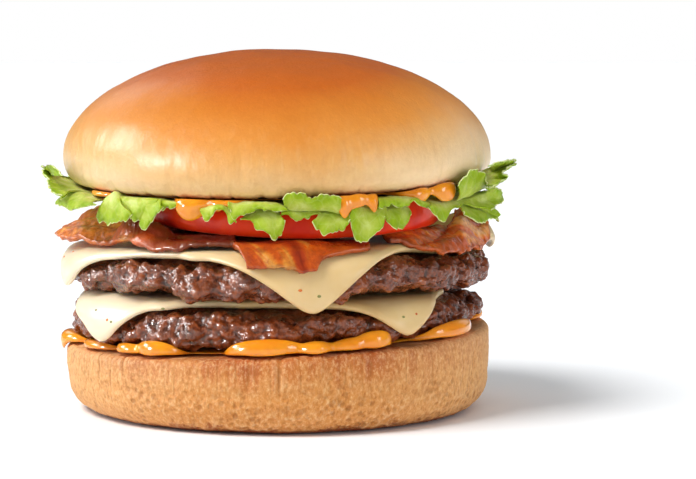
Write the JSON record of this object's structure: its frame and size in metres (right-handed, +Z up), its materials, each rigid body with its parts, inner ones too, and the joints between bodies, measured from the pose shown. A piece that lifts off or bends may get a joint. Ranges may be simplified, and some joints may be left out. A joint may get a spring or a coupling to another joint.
{
  "type": "double cheeseburger",
  "caption": "Double cheeseburger with bacon, tomato, frilled lettuce and orange sauce between the heel and crown of a soft round bun.",
  "frame": {"origin": "middle of the heel's flat base, where the burger rests", "axes": "+Z up through the stack, -Y towards the front, +X to the front view's right"},
  "size_m": [0.1166, 0.1126, 0.0888],
  "materials": {
    "bun_heel": "toasted open crumb",
    "bun_crown": "satin baked crust",
    "beef": "rough and moist",
    "cheese": "satin",
    "bacon": "glossy fried",
    "tomato": "wet gloss",
    "lettuce": "satin",
    "sauce": "gloss"
  },
  "bodies": {
    "root": {"bun_heel": "bun_heel", "sauce_lower": "sauce", "patty_lower": "beef", "cheese_lower": "cheese", "patty_upper": "beef", "cheese_upper": "cheese", "bacon_left": "bacon", "bacon_middle": "bacon", "bacon_right": "bacon", "tomato": "tomato", "lettuce_lower": "lettuce", "lettuce_upper": "lettuce", "sauce_upper": "sauce", "bun_crown": "bun_crown"}
  },
  "joints": []
}
